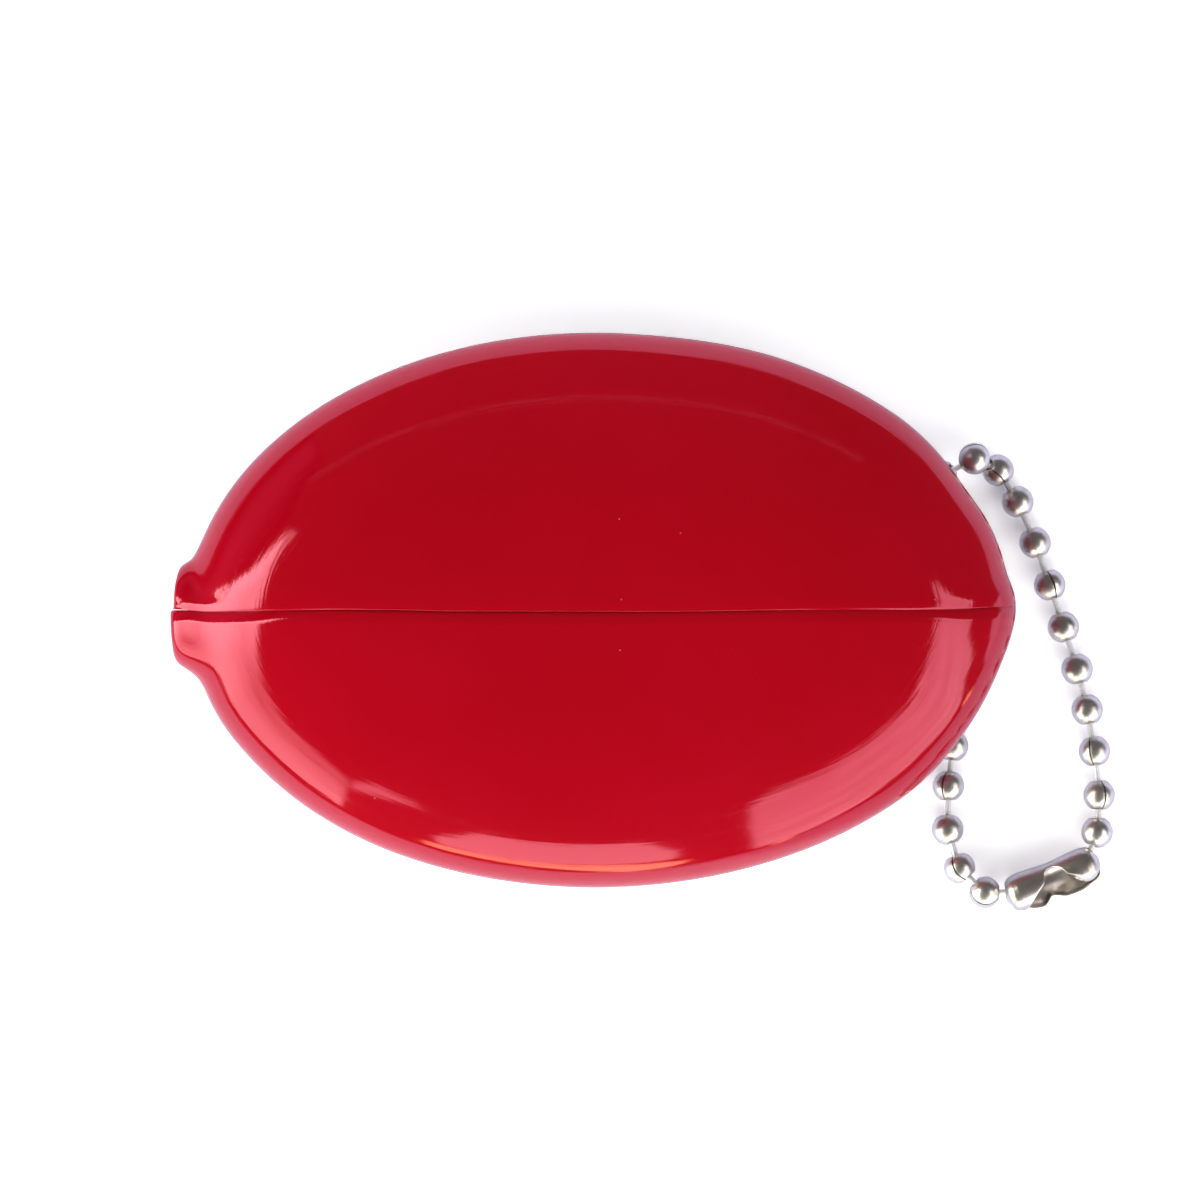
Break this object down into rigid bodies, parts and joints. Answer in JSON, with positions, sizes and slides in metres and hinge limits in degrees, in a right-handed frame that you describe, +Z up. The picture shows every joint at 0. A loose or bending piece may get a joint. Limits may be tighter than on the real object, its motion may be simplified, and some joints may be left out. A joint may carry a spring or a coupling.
{
  "type": "squeeze coin pouch",
  "caption": "Oval moulded vinyl squeeze pouch for coins, slit along its back and opened by pressing its ends, with a loop of ball chain on a lug for keys.",
  "frame": {"origin": "middle of the flat face on the front panel that the pouch rests on", "axes": "+X along the slit towards the chain, +Z up through the slit, +Y to the upper side of the picture"},
  "size_m": [0.0931, 0.0569, 0.019],
  "materials": {
    "vinyl": "glossy moulded soft vinyl, deep red",
    "bead_plate": "bright nickel plate on rolled steel beads",
    "link_wire": "bright nickel plated wire",
    "connector_plate": "nickel plated folded sheet, lightly scuffed"
  },
  "bodies": {
    "front": {"front_shell": "vinyl"},
    "back_upper": {"back_panel_upper": "vinyl"},
    "back_lower": {"back_panel_lower": "vinyl"},
    "chain_lift": {"bead_17": "bead_plate"},
    "chain_base": {"bead_05": "bead_plate", "bead_06": "bead_plate", "bead_07": "bead_plate", "bead_08": "bead_plate", "bead_09": "bead_plate", "bead_10": "bead_plate", "bead_11": "bead_plate", "bead_12": "bead_plate", "bead_13": "bead_plate", "bead_14": "bead_plate", "bead_15": "bead_plate", "bead_16": "bead_plate", "bead_18": "bead_plate", "bead_19": "bead_plate", "bead_20": "bead_plate", "bead_21": "bead_plate", "link_05": "link_wire", "link_06": "link_wire", "link_07": "link_wire", "link_08": "link_wire", "link_09": "link_wire", "link_10": "link_wire", "link_11": "link_wire", "link_12": "link_wire", "link_13": "link_wire", "link_14": "link_wire", "link_15": "link_wire", "link_16": "link_wire", "link_17": "link_wire", "link_18": "link_wire", "link_19": "link_wire", "link_20": "link_wire"},
    "chain_side": {"bead_02": "bead_plate", "bead_03": "bead_plate", "bead_04": "bead_plate", "link_02": "link_wire", "link_03": "link_wire", "link_04": "link_wire"},
    "chain_bottom": {"bead_01": "bead_plate", "bead_24": "bead_plate", "bead_25": "bead_plate", "bead_26": "bead_plate", "chain_connector": "connector_plate", "link_01": "link_wire", "link_24": "link_wire", "link_25": "link_wire"},
    "chain_inner": {"bead_22": "bead_plate", "bead_23": "bead_plate", "link_21": "link_wire", "link_22": "link_wire", "link_23": "link_wire"}
  },
  "joints": [
    {"name": "back_upper_bend", "type": "hinge", "parent": "front", "child": "back_upper", "pos_m": [0, 0.02715, 0.009], "axis": [-1, 0, 0], "range_deg": [0, 18], "stiffness_Nm_per_rad": 0.05},
    {"name": "back_lower_bend", "type": "hinge", "parent": "front", "child": "back_lower", "pos_m": [0, -0.02715, 0.009], "axis": [1, 0, 0], "range_deg": [0, 18], "stiffness_Nm_per_rad": 0.05},
    {"name": "chain_lift", "type": "hinge", "parent": "front", "child": "chain_lift", "pos_m": [0.038, 0, 0.00299], "axis": [0, -1, 0], "range_deg": [0, 60]},
    {"name": "chain_swing", "type": "hinge", "parent": "chain_lift", "child": "chain_base", "pos_m": [0.038, 0, 0.00299], "axis": [0, 0, 1], "range_deg": [-6, 6]},
    {"name": "chain_side_sway", "type": "hinge", "parent": "chain_base", "child": "chain_side", "pos_m": [0.04894, -0.01, 0.00158], "axis": [0, 0, 1], "range_deg": [-8, 8]},
    {"name": "chain_bottom_turn", "type": "hinge", "parent": "chain_side", "child": "chain_bottom", "pos_m": [0.04994, -0.02215, 0.00158], "axis": [0, 0, 1], "range_deg": [-8, 8]},
    {"name": "chain_inner_sway", "type": "hinge", "parent": "chain_base", "child": "chain_inner", "pos_m": [0.03559, -0.01358, 0.00158], "axis": [0, 0, 1], "range_deg": [-8, 8]}
  ],
  "couplings": [
    {"joint": "back_lower_bend", "follows": "back_upper_bend", "ratio": 1},
    {"joint": "chain_bottom_turn", "follows": "chain_side_sway", "ratio": -1},
    {"joint": "chain_inner_sway", "follows": "chain_side_sway", "ratio": 1}
  ]
}
